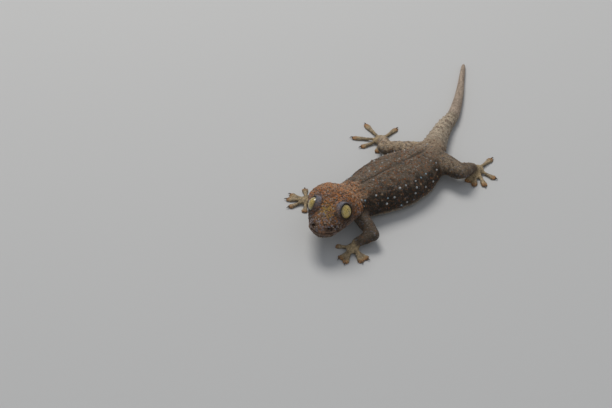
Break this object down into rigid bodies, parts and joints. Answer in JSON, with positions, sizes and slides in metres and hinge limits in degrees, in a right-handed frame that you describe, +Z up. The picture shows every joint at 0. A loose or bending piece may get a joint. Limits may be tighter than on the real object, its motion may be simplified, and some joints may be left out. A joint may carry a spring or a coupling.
{
  "type": "tokay gecko",
  "caption": "Life-size resting gecko with a broad raised head turned to one side, sprawled legs with widened toe pads, a spotted tubercled back and a regrown tail.",
  "frame": {"origin": "on the floor, under the middle of the whole animal's bounding box", "axes": "+Z up, the trunk points along -Y, the gecko's own left side is +X, its tail runs back along +Y"},
  "size_m": [0.1052, 0.224, 0.0308],
  "materials": {
    "head_hide": "dry granular scales, orange-brown with dark and pale flecks",
    "jaw_hide": "small smooth scales, pale brown",
    "body_hide": "dry granular scales with raised pale tubercles on dark brown",
    "limb_hide": "dry small scales, mottled grey-brown",
    "tail_hide": "ringed scaly base, smoother pinkish-tan regrown length",
    "eye": "glossy clear cornea over a gold iris"
  },
  "bodies": {
    "root": {"head": "head_hide", "lower_jaw": "jaw_hide", "eye_left": "eye", "eye_right": "eye", "neck": "head_hide", "chest": "body_hide", "torso": "body_hide", "hips": "body_hide", "tail_base": "tail_hide", "tail_regrown": "tail_hide", "upper_arm_left": "limb_hide", "forearm_left": "limb_hide", "hand_left": "limb_hide", "upper_arm_right": "limb_hide", "forearm_right": "limb_hide", "hand_right": "limb_hide", "thigh_left": "limb_hide", "shin_left": "limb_hide", "foot_left": "limb_hide", "thigh_right": "limb_hide", "shin_right": "limb_hide", "foot_right": "limb_hide"}
  },
  "joints": []
}
